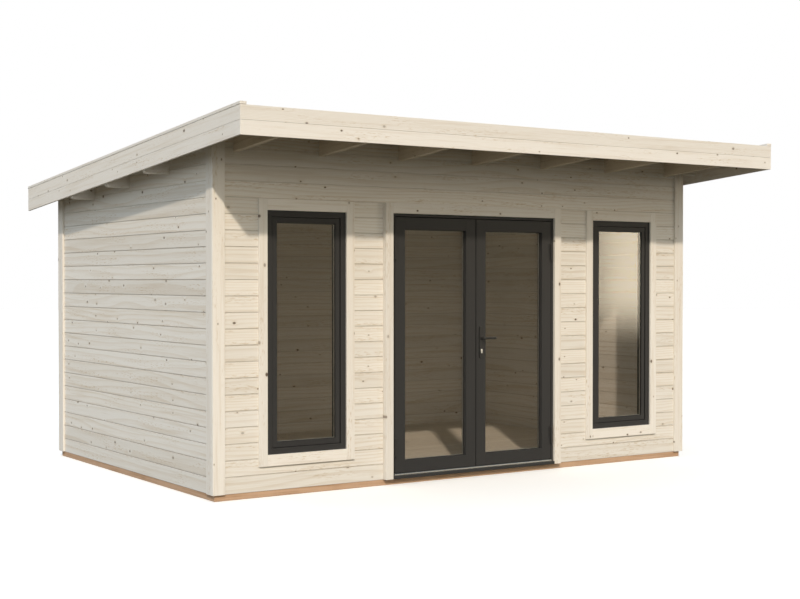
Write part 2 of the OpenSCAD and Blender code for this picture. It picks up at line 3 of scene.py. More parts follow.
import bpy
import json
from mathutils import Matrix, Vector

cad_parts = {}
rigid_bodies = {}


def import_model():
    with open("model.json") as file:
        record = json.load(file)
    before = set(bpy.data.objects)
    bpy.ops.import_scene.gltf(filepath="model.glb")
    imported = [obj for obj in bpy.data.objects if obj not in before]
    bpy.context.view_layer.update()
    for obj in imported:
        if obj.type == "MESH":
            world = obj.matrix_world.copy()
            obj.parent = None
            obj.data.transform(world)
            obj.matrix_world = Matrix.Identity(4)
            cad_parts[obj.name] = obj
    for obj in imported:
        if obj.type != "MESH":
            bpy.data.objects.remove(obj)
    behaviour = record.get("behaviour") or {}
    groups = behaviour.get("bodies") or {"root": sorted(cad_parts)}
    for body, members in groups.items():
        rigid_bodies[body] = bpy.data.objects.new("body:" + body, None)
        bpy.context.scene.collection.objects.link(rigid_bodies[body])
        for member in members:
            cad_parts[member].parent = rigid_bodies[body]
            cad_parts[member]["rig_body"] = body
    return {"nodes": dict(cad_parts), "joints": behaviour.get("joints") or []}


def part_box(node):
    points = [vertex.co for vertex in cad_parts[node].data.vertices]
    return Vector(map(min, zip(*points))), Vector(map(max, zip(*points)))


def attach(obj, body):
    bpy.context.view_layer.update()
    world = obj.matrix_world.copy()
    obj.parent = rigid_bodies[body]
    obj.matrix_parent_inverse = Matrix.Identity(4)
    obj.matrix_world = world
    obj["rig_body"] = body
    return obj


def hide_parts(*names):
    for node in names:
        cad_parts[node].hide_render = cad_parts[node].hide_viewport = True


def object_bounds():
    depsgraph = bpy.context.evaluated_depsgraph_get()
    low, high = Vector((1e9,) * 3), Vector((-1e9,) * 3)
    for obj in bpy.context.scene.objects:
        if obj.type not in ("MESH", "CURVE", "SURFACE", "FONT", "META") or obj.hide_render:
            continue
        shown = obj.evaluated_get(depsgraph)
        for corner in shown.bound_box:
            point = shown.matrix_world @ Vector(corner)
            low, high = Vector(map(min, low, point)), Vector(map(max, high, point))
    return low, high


bl_info = {
    "name": "Garden Office Pod",
    "version": (1, 0, 0),
    "blender": (4, 5, 0),
    "location": "3D View > Sidebar > Pod",
    "description": "Dresses the packed garden office pod in boards, painted joinery, glass and ironmongery",
    "category": "Add Mesh",
}

import json
import math
import random

import bmesh
import bpy
from mathutils import Vector

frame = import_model()
CAD_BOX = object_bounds()

X, Y, Z = 0, 1, 2
# Points closer than WELD are one, and those within HAIR of a cut lie on it.
WELD = 1e-5
HAIR = 1e-7
# Faces that turn by less than FLAT are one face, and edges that turn by more than SHARP are rounded.
FLAT = math.radians(0.5)
SHARP = math.radians(35)
# Room left between two pieces, and the thinnest slice that a saw cuts off.
SHAVE = 0.0002
SLIVER = 0.004
# Points round a turned piece, and the turns from the face of a rounded nose to its top.
TURNED = 40
NOSE_TURNS = [math.radians(15 * step) for step in range(7)]
# Glazing: how far the beads cover a pane, the seals and spacers, and the rounding of their edges.
BEAD_COVER = 0.012
SEAL_PROUD = 0.0025
SEAL_WIDTH = 0.004
SPACER_WIDTH = 0.014
SEAL_EDGE = 0.0008
GLASS_EDGE = 0.0005


# Settings

def setting(kind, **fixed):
    """A maker of settings of one kind, each with a name, a description and a default."""

    def made(name, description, default):
        return kind(name=name, description=description, default=default, **fixed)

    return made


figure = setting(bpy.props.FloatProperty, min=0.0)
length = setting(bpy.props.FloatProperty, unit="LENGTH")
angle = setting(bpy.props.FloatProperty, subtype="ANGLE")
colour = setting(bpy.props.FloatVectorProperty, subtype="COLOR", size=3, min=0.0, soft_max=1.0)
place = setting(bpy.props.FloatVectorProperty, subtype="TRANSLATION")
direction = setting(bpy.props.FloatVectorProperty, subtype="DIRECTION")


class POD_Boards(bpy.types.PropertyGroup):
    """Board widths and edges"""

    log_cover: length("Log cover", "Height that one wall log covers", 0.114)
    # Height of the eaves' shadow line: above it the dust and painted groove shadow in the log joints fall to
    # a fifth.
    sheltered: length("Sheltered", "Height from which the eaves keep dust off the logs", 2.05)
    log_joint: length("Log joint", "Depth of the V-joint between two wall logs as packed", 0.003)
    open_joint: length("Open joint", "Depth of the V-joint on the outer faces, shrunk open", 0.0055)
    roof_cover: length("Roof board cover", "Width that one roof board covers", 0.092)
    floor_cover: length("Floor board cover", "Width that one floor board covers", 0.088)
    planed_edge: length("Planed edge", "Rounding of planed board edges", 0.002)
    fine_edge: length("Fine edge", "Rounding of the fascia boards' and edge strips' edges", 0.0018)
    sawn_edge: length("Sawn edge", "Rounding of the bearers' edges", 0.004)
    paint_edge: length("Painted edge", "Rounding of the painted joinery's edges", 0.0012)
    felt_width: length("Felt width", "Width of one roll of roofing felt", 1.0)
    felt_lap: length("Felt lap", "How far one sheet of felt laps over the next", 0.1)


class POD_Finish(bpy.types.PropertyGroup):
    """Colours of wood, paint, felt, glass and metal"""

    spruce: colour("Spruce", "Early wood of the logs", (0.883, 0.868, 0.835))
    trim: colour("Trim", "Early wood of the trims, fascias and purlins", (0.915, 0.90, 0.872))
    roof: colour("Roof", "Early wood of the roof boards, left bare", (0.60, 0.52, 0.395))
    joist: colour("Joist", "Early wood of the joists, left bare", (0.84, 0.77, 0.66))
    roof_late: colour("Roof grain", "Late wood of the roof boards and joists", (0.38, 0.30, 0.20))
    spruce_late: colour("Spruce grain", "Late wood and flecks of all spruce", (0.64, 0.55, 0.43))
    # The knot colour also darkens the log joints with dust and painted groove shadow.
    knot: colour("Knot", "Knots in the spruce", (0.098, 0.062, 0.038))
    floor: colour("Floor", "Early wood of the floor boards", (0.86, 0.83, 0.76))
    treated: colour("Treated", "Impregnated bearers", (0.62, 0.42, 0.288))
    treated_late: colour("Treated grain", "Grain of the impregnated bearers", (0.44, 0.27, 0.163))
    paint: colour("Paint", "Dark grey joinery paint", (0.036, 0.0365, 0.038))
    felt: colour("Felt", "Mineral grains of the roofing felt", (0.075, 0.075, 0.08))
    glass: colour("Glass", "Tint of one glass face", (0.983, 0.977, 0.970))
    alloy: colour("Alloy", "Threshold strip and glass spacers", (0.64, 0.64, 0.61))
    iron: colour("Iron", "Coated hinges and handle", (0.036, 0.036, 0.036))
    steel: colour("Steel", "Lock cylinder", (0.92, 0.90, 0.85))


class POD_Stage(bpy.types.PropertyGroup):
    """Camera, floor and light"""

    eye: place("Eye", "Where the camera stands", (-6.3467, -9.6852, 1.5228))
    heading: angle("Heading", "Turn of the camera from +Y towards +X", math.radians(33.7006))
    tilt: angle("Tilt", "Rise of the camera's line of sight", math.radians(-0.8015))
    lens: figure("Lens", "Focal length in millimetres", 61.4)
    sun: direction("Sun", "Where the key light shines to", (0.473, 0.818, -0.607))
    sun_power: figure("Sun power", "Strength of the key light", 2.25)
    sun_colour: colour("Sun colour", "Colour of the key light", (0.93, 0.80, 0.645))
    sun_size: angle("Sun size", "Width of the key light in the sky", math.radians(2.0))
    sky_colour: colour("Sky colour", "Soft light from above", (0.50, 0.64, 0.82))
    level_colour: colour("Level colour", "Soft light from the front and right", (0.32, 0.284, 0.205))
    left_colour: colour("Left colour", "Soft light from the left", (0.96, 1.00, 0.98))
    ground_colour: colour("Ground colour", "Soft light from below", (0.096, 0.085, 0.062))
    panel_colour: colour("Panel colour", "Wide soft panel in front, left of the door", (1.16, 1.06, 0.87))
    card_colour: colour("Card colour", "Soft card in front, right of the door", (1.0, 0.86, 0.66))
    card_power: figure("Card power", "Strength of the soft card", 5.4)
    card_near: angle("Card near", "Near edge of the soft card, from -Y towards +X", math.radians(41.0))
    card_far: angle("Card far", "Far edge of the soft card, from -Y towards +X", math.radians(58.0))
    backdrop: colour("Backdrop", "What the camera sees behind the object", (1.0, 1.0, 1.0))
    floor_colour: colour("Floor", "Pale studio floor", (0.95, 0.94, 0.92))
    floor_glow: figure("Floor glow", "Light that the floor adds to its own look", 0.27)
    floor_radius: length("Floor radius", "Radius of the studio floor", 60.0)


# Shader expressions

def sums(operation, swapped=False):
    """An operator of Shade that adds a Math node, with its two values swapped for the reflected form."""

    def work(self, value):
        return self.maths(operation, value, self) if swapped else self.maths(operation, self, value)

    return work


class Shade:
    """A socket of a node tree. Arithmetic on it adds Math nodes, and make() adds any other node."""

    def __init__(self, tree, socket=None):
        self.tree = tree
        self.socket = socket

    def feed(self, node, sockets):
        """Links or sets inputs of a node."""
        for name, value in sockets.items():
            if isinstance(value, Shade):
                self.tree.links.new(value.socket, node.inputs[name])
            else:
                node.inputs[name].default_value = value

    def make(self, kind, settings=None, sockets=None, output=0):
        """Adds a node, its settings first and then its sockets, and returns one of its outputs."""
        node = self.tree.nodes.new(kind)
        for name, value in (settings or {}).items():
            setattr(node, name, value)
        self.feed(node, sockets or {})
        return Shade(self.tree, node.outputs[output])

    def other(self, output):
        """Another output of the same node."""
        return Shade(self.tree, self.socket.node.outputs[output])

    def maths(self, operation, *values):
        """A Math node on these values."""
        return self.make("ShaderNodeMath", {"operation": operation}, dict(enumerate(values)))

    __add__ = sums("ADD")
    __radd__ = sums("ADD", swapped=True)
    __sub__ = sums("SUBTRACT")
    __rsub__ = sums("SUBTRACT", swapped=True)
    __mul__ = sums("MULTIPLY")
    __rmul__ = sums("MULTIPLY", swapped=True)
    __pow__ = sums("POWER")

    def part(self):
        """What follows the decimal point."""
        return self.maths("FRACT", self)

    def below(self, limit):
        """1 where this is under the limit, else 0."""
        return self.maths("LESS_THAN", self, limit)

    def smooth(self, low, high):
        """0 at low, 1 at high and an S-curve between them. Low may be above high."""
        return self.make(
            "ShaderNodeMapRange",
            {"interpolation_type": "SMOOTHSTEP"},
            {"Value": self, "From Min": low, "From Max": high},
        )

    def vector(self, x, y, z):
        """Three values as a vector."""
        return self.make("ShaderNodeCombineXYZ", None, {0: x, 1: y, 2: z})

    def parts(self):
        """A vector's or colour's three values."""
        first = self.make("ShaderNodeSeparateXYZ", None, {0: self})
        return first, first.other(1), first.other(2)

    def noise(self, x, y, z, detail=2.0):
        """Smooth noise from 0 to 1 at a point."""
        return self.make(
            "ShaderNodeTexNoise", None, {"Vector": self.vector(x, y, z), "Scale": 1.0, "Detail": detail}
        )

    def mix(self, first, second):
        """The colour between two, with this value as the second one's share."""
        return self.make("ShaderNodeMix", {"data_type": "RGBA"}, {0: self, 6: first, 7: second}, 2)

    def scaled(self, amount):
        """This colour made lighter or darker."""
        return self.make("ShaderNodeVectorMath", {"operation": "SCALE"}, {0: self, "Scale": amount})

    def bump(self, depth):
        """A normal from this height, in metres of depth."""
        return self.make("ShaderNodeBump", None, {"Height": self, "Strength": 1.0, "Distance": depth})

    def attribute(self, name, output):
        """A value kept on the mesh."""
        return self.make("ShaderNodeAttribute", {"attribute_name": name}, None, output)

    def place(self):
        """Where a point lies on its piece, as three values."""
        return self.make("ShaderNodeTexCoord", None, None, "Object").parts()


def opaque(rgb, times=1.0):
    """A colour with full alpha, made lighter or darker by a number."""
    return (*(c * times for c in rgb), 1.0)


def new_material(name):
    """A fresh material, its Principled node and an expression root."""
    material = bpy.data.materials.new(name)
    material.use_nodes = True
    return material, material.node_tree.nodes["Principled BSDF"], Shade(material.node_tree)


def surface(root, shader, rgb, roughness, relief, depth, gloss):
    """Gives a finish its colour, its roughness, a relief of that depth in metres and its gloss."""
    root.feed(shader, {"Base Color": rgb, "Roughness": roughness, "Specular IOR Level": gloss})
    root.feed(shader, {"Normal": relief.bump(depth)})


def grain_parts(root):
    """A board's own coordinates, along, across and through it, and two random tones of the board."""
    along, across, through = root.attribute("grain", "Vector").parts()
    tone = root.attribute("tone", "Fac")
    return along, across, through, tone, (tone * 7.31).part()


def knots(root, along, across, tone, wanted):
    """How much of a point is knot, how far the grain swerves round it and how brown it is beside it."""
    cell = root.make(
        "ShaderNodeTexVoronoi",
        {"voronoi_dimensions": "2D"},
        {"Vector": root.vector(along * 3.6 + tone * 57.0, across * 5.2 + tone * 23.0, 0.0), "Scale": 1.0},
    )
    chance, girth, age = cell.other("Color").parts()
    there = chance.below(wanted)
    radius = girth * girth * 0.032 + 0.026
    knot = cell.smooth(radius * 1.15, radius * 0.6) * there * (age * 0.60 + 0.36)
    swerve = cell.smooth(0.20, 0.0) * there
    halo = cell.smooth(radius * 2.4, radius) * there
    return knot, swerve, halo


def planed_spruce(name, pale, late, knot_and_shadow_rgb, knot_share, boards=None):
    """Planed spruce with growth rings through the board, flecks and knots. Logs get dust and painted groove
    shadow in their joints, fainter under the eaves.
    """
    material, shader, root = new_material(name)
    along, across, through, tone, second = grain_parts(root)
    third = (tone * 13.7).part()
    knot, swerve, halo = knots(root, along, across, tone, knot_share)
    wander = root.noise(along * 0.7 + tone * 91.0, across * 3.0, through * 3.0, 1.0)
    side = across + 0.04 + second * 0.14
    depth = through + 0.02 + third * 0.09
    radius = (side * side + depth * depth) ** 0.5 + wander * 0.018 + swerve * 0.002
    ring = (radius * (150.0 + 110.0 * second)).part()
    band = ring.smooth(0.40, 0.92) * ring.smooth(1.0, 0.93)
    fibre = root.noise(along * 9.0 + tone * 40.0, across * 520.0, through * 520.0, 1.0)
    streak = root.noise(along * 1.4 + tone * 77.0, across * 42.0, through * 42.0, 3.0).smooth(0.46, 0.74)
    fleck = root.noise(along * 22.0 + tone * 13.0, across * 130.0, through * 130.0, 2.0).smooth(0.52, 0.70)
    patch = root.noise(along * 1.5 + tone * 29.0, across * 13.0, through * 13.0, 1.0).smooth(0.50, 0.66)
    streaks = band * 0.26 + (fibre - 0.5) * 0.44 + streak * 0.28
    browner = streaks + fleck * patch * 0.6 + halo * 0.20 + third * 0.12
    wood = browner.mix(opaque(pale), opaque(late)).scaled(second * 0.10 + 0.94)
    wood = knot.mix(wood, opaque(knot_and_shadow_rgb))
    if boards:
        # Painted shade and dust: both bevels of each V-joint are darkened towards knot brown. This stands in
        # for the sun's shadow in the groove, and it falls to a fifth above the eaves' shadow line.
        ledge_dust_and_shadow = (boards.log_cover - across).smooth(boards.log_joint * 1.1, boards.log_joint * 0.7)
        lip_dust_and_shadow = across.smooth(boards.open_joint * 0.95, boards.open_joint * 0.6)
        _, _, up = root.place()
        out_of_eave_shade = up.smooth(boards.sheltered + 0.1, boards.sheltered - 0.1) * 0.8 + 0.2
        wood = ((ledge_dust_and_shadow * 0.34 + lip_dust_and_shadow * 0.13) * out_of_eave_shade).mix(wood, opaque(knot_and_shadow_rgb))
    relief = band * 0.3 + fibre * 0.7 - knot * 0.6
    surface(root, shader, wood, fibre * 0.14 + 0.5 + band * 0.06, relief, depth=0.00025, gloss=0.3)
    return material


def treated_timber(name, body, late):
    """Sawn and impregnated softwood with saw marks across the grain."""
    material, shader, root = new_material(name)
    along, across, through, tone, second = grain_parts(root)
    streak = root.noise(along * 2.0 + tone * 50.0, across * 60.0, through * 60.0, 3.0)
    saw = root.noise(along * 240.0, across * 6.0 + tone, through * 6.0, 1.0)
    blotch = root.noise(along * 3.0 + tone * 11.0, across * 9.0, through * 9.0, 2.0)
    share_late = streak.smooth(0.42, 0.72) * 0.7 + (saw - 0.5) * 0.3 + blotch.smooth(0.5, 0.75) * 0.25
    wood = share_late.mix(opaque(body), opaque(late)).scaled(second * 0.16 + 0.9)
    surface(root, shader, wood, saw * 0.2 + 0.66, saw * 0.6 + streak * 0.4, depth=0.001, gloss=0.2)
    return material


def joinery_paint(name, rgb):
    """Satin paint on timber: the grain shows faintly through it."""
    material, shader, root = new_material(name)
    along, across, through, tone, second = grain_parts(root)
    fibre = root.noise(along * 5.0 + tone * 40.0, across * 330.0, through * 330.0, 2.0)
    orange_peel = root.noise(along * 420.0, across * 420.0, through * 420.0, 1.0)
    cloud = root.noise(along * 3.0 + tone * 17.0, across * 8.0, through * 8.0, 2.0)
    paint = (fibre * 0.3 + cloud * 0.4).mix(opaque(rgb), opaque(rgb, 1.35)).scaled(second * 0.1 + 0.95)
    relief = fibre * 0.7 + orange_peel * 0.3
    surface(root, shader, paint, cloud * 0.12 + 0.36 + fibre * 0.06, relief, depth=0.0002, gloss=0.2)
    return material


def mineral_felt(name, rgb):
    """Roofing felt faced with mineral grains."""
    material, shader, root = new_material(name)
    x, y, z = root.place()
    grain = root.vector(x * 420.0, y * 420.0, z * 420.0)
    grit = root.make("ShaderNodeTexVoronoi", None, {"Vector": grain, "Scale": 1.0})
    glint, _, _ = grit.other("Color").parts()
    cloud = root.noise(x * 1.7, y * 2.3, z, 4.0)
    grey = (glint * 0.7 + cloud * 0.5).mix(opaque(rgb, 0.55), opaque(rgb, 1.6))
    surface(root, shader, grey, 0.96 - glint * 0.16, 1.0 - grit, depth=0.0012, gloss=0.25)
    return material


def clear_glass(name, tint):
    """Float glass: it lets light straight through and mirrors more at a slant."""
    material, shader, root = new_material(name)
    facing = root.make("ShaderNodeLayerWeight", None, {"Blend": 0.5}, "Facing")
    mirrored = facing ** 5.0 * 0.9 + 0.035
    clear = root.make("ShaderNodeBsdfTransparent", None, {"Color": opaque(tint)})
    root.feed(shader, {"Base Color": (0.95, 0.97, 0.96, 1.0), "Metallic": 1.0, "Roughness": 0.0})
    mirror = Shade(root.tree, shader.outputs[0])
    pane = root.make("ShaderNodeMixShader", None, {0: mirrored, 1: clear, 2: mirror})
    root.feed(root.tree.nodes["Material Output"], {"Surface": pane})
    return material


def metal(name, rgb, roughness, along_scale, bare):
    """Metal with fine drawn lines along X. Bare is 1 for polished, less for satin and 0 for coated metal."""
    material, shader, root = new_material(name)
    x, y, z = root.place()
    lines = root.noise(x * along_scale, y * 1900.0, z * 1900.0, 2.0)
    cloud = root.noise(x * 40.0, y * 40.0, z * 40.0, 3.0)
    relief = lines * 0.6 + cloud * 0.4
    tint = relief.mix(opaque(rgb, 0.86), opaque([min(c * 1.12, 1.0) for c in rgb]))
    rough = lines * 0.16 + cloud * 0.1 + roughness - 0.13
    surface(root, shader, tint, rough, relief, depth=0.0001, gloss=0.25 + 0.25 * bare)
    root.feed(shader, {"Metallic": bare})
    return material


def seal_rubber(name):
    """Black glazing seal with a fine matt skin."""
    material, shader, root = new_material(name)
    x, y, z = root.place()
    skin = root.noise(x * 900.0, y * 900.0, z * 900.0, 2.0)
    black = skin.mix((0.008, 0.008, 0.008, 1.0), (0.018, 0.018, 0.017, 1.0))
    root.feed(shader, {"Base Color": black, "Roughness": skin * 0.2 + 0.55})
    return material


def finish(scene, name):
    """The material of that name, made when it is first asked for."""
    made = bpy.data.materials.get(name)
    if made:
        return made
    f = scene.pod_finish
    makers = {
        "wall_spruce": (planed_spruce, f.spruce, f.spruce_late, f.knot, 0.60, scene.pod_boards),
        "trim_spruce": (planed_spruce, f.trim, f.spruce_late, f.knot, 0.74),
        "clear_spruce": (planed_spruce, f.trim, f.spruce_late, f.knot, 0.0),
        "bare_spruce": (planed_spruce, f.roof, f.roof_late, f.knot, 0.74),
        "joist_spruce": (planed_spruce, f.joist, f.roof_late, f.knot, 0.74),
        "floor_spruce": (planed_spruce, f.floor, f.spruce_late, f.knot, 0.34),
        "treated_softwood": (treated_timber, f.treated, f.treated_late),
        "satin_paint": (joinery_paint, f.paint),
        "roof_felt_grains": (mineral_felt, f.felt),
        "window_glass": (clear_glass, f.glass),
        "drawn_alloy": (metal, f.alloy, 0.38, 14.0, 1.0),
        "coated_iron": (metal, f.iron, 0.42, 300.0, 0.0),
        "satin_steel": (metal, f.steel, 0.36, 60.0, 0.45),
        "glazing_seal": (seal_rubber,),
    }
    maker, *values = makers[name]
    return maker(name, *values)


# Sawing and shaping

def packed_solid(node):
    """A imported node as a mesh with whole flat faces."""
    mesh = bmesh.new()
    mesh.from_mesh(frame["nodes"][node].data)
    bmesh.ops.remove_doubles(mesh, verts=mesh.verts[:], dist=WELD)
    bmesh.ops.dissolve_limit(mesh, angle_limit=FLAT, verts=mesh.verts[:], edges=mesh.edges[:])
    return mesh


def islands(mesh):
    """The vertices of each separate solid, in the mesh's own order."""
    found = []
    for vert in mesh.verts:
        vert.tag = False
    for start in mesh.verts:
        if start.tag:
            continue
        start.tag = True
        grown = [start]
        for vert in grown:
            for edge in vert.link_edges:
                near = edge.other_vert(vert)
                if not near.tag:
                    near.tag = True
                    grown.append(near)
        found.append(grown)
    return found


def span(points):
    """Lowest and highest corner of some points."""
    low = Vector(min(point[i] for point in points) for i in range(3))
    high = Vector(max(point[i] for point in points) for i in range(3))
    return low, high


def solid_boxes(node):
    """The corner boxes of a node's solids, from left to right, then upwards, then backwards."""
    mesh = packed_solid(node)
    boxes = [span([v.co for v in verts]) for verts in islands(mesh)]
    mesh.free()
    return sorted(boxes, key=lambda box: (round(box[0].x, 4), round(box[0].z, 4), box[0].y))


def cut_away(mesh, axis, line, side):
    """Takes away what lies beyond a line on an axis and closes the cut."""
    normal = Vector((0.0, 0.0, 0.0))
    normal[axis] = side
    cut = bmesh.ops.bisect_plane(
        mesh,
        geom=mesh.verts[:] + mesh.edges[:] + mesh.faces[:],
        dist=HAIR,
        plane_co=normal * side * line,
        plane_no=normal,
        clear_outer=True,
    )
    edges = [e for e in cut["geom_cut"] if isinstance(e, bmesh.types.BMEdge)]
    if edges:
        bmesh.ops.edgeloop_fill(mesh, edges=edges)


def sawn(mesh, axis, lines):
    """Saws a mesh across an axis at some lines and returns the closed slices."""
    low, high = span([v.co for v in mesh.verts])
    inside = sorted(v for v in lines if low[axis] + SLIVER < v < high[axis] - SLIVER)
    slices = []
    for first, last in zip([None] + inside, inside + [None]):
        piece = mesh.copy()
        if last is not None:
            cut_away(piece, axis, last, 1)
        if first is not None:
            cut_away(piece, axis, first, -1)
        slices.append(piece)
    mesh.free()
    return slices


def spaced(low, high, pitch):
    """Lines from low to high, a pitch apart."""
    return [low + pitch * i for i in range(1, math.ceil((high - low) / pitch))]


def soften(mesh, edge):
    """Rounds the long sharp edges of a mesh."""
    sharp = [
        e for e in mesh.edges
        if len(e.link_faces) == 2 and e.calc_face_angle(0.0) > SHARP and e.calc_length() > 4 * edge
    ]
    bmesh.ops.bevel(
        mesh,
        geom=sharp,
        offset=edge,
        offset_type="OFFSET",
        segments=2,
        profile=0.5,
        affect="EDGES",
        clamp_overlap=False,
    )


def roof_fall():
    """How far the roof comes down for each metre towards the back."""
    low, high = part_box("roof_felt")
    front = [v.co.z for v in frame["nodes"]["roof_felt"].data.vertices if v.co.y < low.y + WELD]
    return (min(front) - low.z) / (high.y - low.y)


def grade(mesh, key, course=None, fall=0.0):
    """Gives each board a random tone and its own coordinates, with the grain along its longest side.

    Logs of one course share them: course is the wall's long axis and the height of its foot and of a log.
    The grain of a board that lies on the roof's slope follows the fall.
    """
    grain = mesh.verts.layers.float_vector.new("grain")
    tone = mesh.verts.layers.float.new("tone")
    for number, verts in enumerate(islands(mesh)):
        level = [vert.co + Vector((0.0, 0.0, fall * vert.co.y)) for vert in verts]
        low, high = span(level)
        size = high - low
        order = sorted(range(3), key=lambda axis: -size[axis])
        if course:
            axis, foot, cover = course
            order = [axis, Z, X + Y - axis]
            number = math.floor((low.z + high.z - 2 * foot) / (2 * cover))
            low = Vector((0.0, 0.0, foot + number * cover))
        pick = random.Random(f"{key}{number}").random()
        for vert, point in zip(verts, level):
            local = point - low
            vert[grain] = Vector(local[axis] for axis in order)
            vert[tone] = pick


def put(name, data):
    """Puts a new object into the scene."""
    made = bpy.data.objects.new(name, data)
    bpy.context.scene.collection.objects.link(made)
    return made


def piece_of(mesh, name, body, material, replaced=()):
    """Makes a finished mesh into a piece that rides on a body."""
    data = bpy.data.meshes.new(name)
    mesh.normal_update()
    mesh.to_mesh(data)
    mesh.free()
    data.materials.append(material)
    piece = put(name, data)
    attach(piece, body)
    if replaced:
        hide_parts(*replaced)


def pour(whole, mesh):
    """Adds a mesh to another and frees it."""
    carrier = bpy.data.meshes.new("carrier")
    mesh.to_mesh(carrier)
    mesh.free()
    whole.from_mesh(carrier)
    bpy.data.meshes.remove(carrier)


def joined(meshes):
    """Several meshes as one."""
    whole = bmesh.new()
    for mesh in meshes:
        pour(whole, mesh)
    return whole


def body_of(node):
    """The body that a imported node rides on."""
    return frame["nodes"][node]["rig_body"]


def dress(scene, node, name, look, edge, saws=(), fall=0.0):
    """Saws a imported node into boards, rounds their edges and gives them their finish."""
    meshes = [packed_solid(node)]
    for axis, lines in saws:
        meshes = [piece for mesh in meshes for piece in sawn(mesh, axis, lines)]
    for mesh in meshes:
        soften(mesh, edge)
    whole = joined(meshes)
    grade(whole, node, fall=fall)
    piece_of(whole, name, body_of(node), finish(scene, look), [node])


def ring_joints(node, nth):
    """Where the stiles of a node's frames meet the rails: the nth upright edge from both ends of each."""
    mesh = packed_solid(node)
    lines = []
    for verts in islands(mesh):
        edges = sorted({round(v.co.x, 5) for v in verts})
        lines += [edges[nth], edges[-1 - nth]]
    mesh.free()
    return lines


def loft(mesh, rings, hollow=False):
    """A closed skin over rings of points. A hollow one runs from the last ring back to the first."""
    rows = [[mesh.verts.new(point) for point in ring] for ring in rings]
    count = len(rows[0])
    back = rows[:1] if hollow else []
    for row, following in zip(rows, rows[1:] + back):
        for i in range(count):
            j = (i + 1) % count
            mesh.faces.new((row[i], row[j], following[j], following[i]))
    if not hollow:
        mesh.faces.new(rows[0][::-1])
        mesh.faces.new(rows[-1])


def circle(radius, count=TURNED):
    """Points of a circle about the origin."""
    turns = [math.tau * i / count for i in range(count)]
    return [(radius * math.cos(turn), radius * math.sin(turn)) for turn in turns]


def turned_z(mesh, x, y, profile):
    """A turned piece on an upright axis, from (radius, height) pairs."""
    loft(mesh, [[(x + a, y + b, z) for a, b in circle(r)] for r, z in profile])


def turned_y(mesh, x, z, profile, hollow=False):
    """A turned piece on an axis along Y, from (radius, y) pairs."""
    loft(mesh, [[(x + a, y, z + b) for a, b in circle(r)] for r, y in profile], hollow)


def button(mesh, x, z, face, out, profile, hollow=False):
    """A turned piece that stands out of a face across Y, from (radius, height) pairs."""
    turned_y(mesh, x, z, [(radius, face + out * height) for radius, height in profile], hollow)


def bar(mesh, low, high, edge):
    """A straight bar with softened edges."""
    made = bmesh.new()
    bmesh.ops.create_cube(made, size=1.0)
    for vert in made.verts:
        vert.co = Vector(low[i] + (vert.co[i] + 0.5) * (high[i] - low[i]) for i in range(3))
    soften(made, edge)
    pour(mesh, made)


def ring_of_bars(mesh, low, high, width, edge):
    """Four bars round an upright rectangle in the XZ plane, uprights running through."""
    bar(mesh, low, (low.x + width, high.y, high.z), edge)
    bar(mesh, (high.x - width, low.y, low.z), high, edge)
    bar(mesh, (low.x + width, low.y, low.z), (high.x - width, high.y, low.z + width), edge)
    bar(mesh, (low.x + width, low.y, high.z - width), (high.x - width, high.y, high.z), edge)


# Pieces

class PodStep:
    """What all building steps share"""

    bl_options = {"REGISTER", "UNDO"}


class POD_OT_wall_logs(PodStep, bpy.types.Operator):
    """Saw the walls into logs"""

    bl_idname = "pod.wall_logs"
    bl_label = "Wall logs"

    def execute(self, context):
        scene = context.scene
        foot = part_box("wall_left")[0].z
        lines = spaced(foot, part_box("wall_front_header")[1].z, scene.pod_boards.log_cover)
        cuts = [line - SHAVE for line in lines]
        for walls, axis, inward in (
            (("wall_front_left", "wall_front_right", "wall_front_header"), X, 1),
            (("wall_back",), X, -1),
            (("wall_left",), Y, 1),
            (("wall_right",), Y, -1),
        ):
            for node in walls:
                logs = joined(sawn(packed_solid(node), Z, cuts))
                self.open_joints(scene.pod_boards, logs, node, X + Y - axis, inward, foot)
                grade(logs, node[:8], (axis, foot, scene.pod_boards.log_cover))
                look = finish(scene, "wall_spruce")
                piece_of(logs, node + "_logs", body_of(node), look, [node])
        return {"FINISHED"}

    def open_joints(self, boards, mesh, node, axis, inward, foot):
        """Opens the V-joints of a wall's outer face, inwards and up the edge of the log above."""
        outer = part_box(node)[0 if inward > 0 else 1][axis]
        more = boards.open_joint - boards.log_joint
        near = boards.log_joint / 4
        for vert in mesh.verts:
            course = round((vert.co.z - foot) / boards.log_cover)
            above = vert.co.z - foot - course * boards.log_cover
            depth = (vert.co[axis] - outer) * inward
            if course and abs(above) < near and abs(depth - boards.log_joint) < near:
                vert.co[axis] += inward * more
            elif course and abs(above - boards.log_joint) < near and abs(depth) < near:
                vert.co.z += more


class POD_OT_trim_boards(PodStep, bpy.types.Operator):
    """Plane the corner boards, window trims and door casings"""

    bl_idname = "pod.trim_boards"
    bl_label = "Trim boards"

    def execute(self, context):
        edge = context.scene.pod_boards.planed_edge
        for node in (
            "corner_boards_front", "corner_boards_back", "corner_boards_sides", "window_side_trims",
            "window_cross_trims", "door_side_casings", "door_head_casing"
        ):
            dress(context.scene, node, node + "_planed", "trim_spruce", edge)
        return {"FINISHED"}


class POD_OT_roof_timber(PodStep, bpy.types.Operator):
    """Plane purlins and joists and saw the roof boards"""

    bl_idname = "pod.roof_timber"
    bl_label = "Roof timber"

    def execute(self, context):
        scene = context.scene
        boards = scene.pod_boards
        fall = roof_fall()
        edge = boards.planed_edge
        dress(scene, "purlins", "purlins_planed", "trim_spruce", edge)
        for node in ("front_joists", "back_joists"):
            dress(scene, node, node + "_planed", "joist_spruce", edge, fall=fall)
        low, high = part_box("roof_deck")
        cuts = [(X, spaced(low.x, high.x, boards.roof_cover))]
        dress(scene, "roof_deck", "roof_boards", "bare_spruce", edge, cuts, fall)
        return {"FINISHED"}


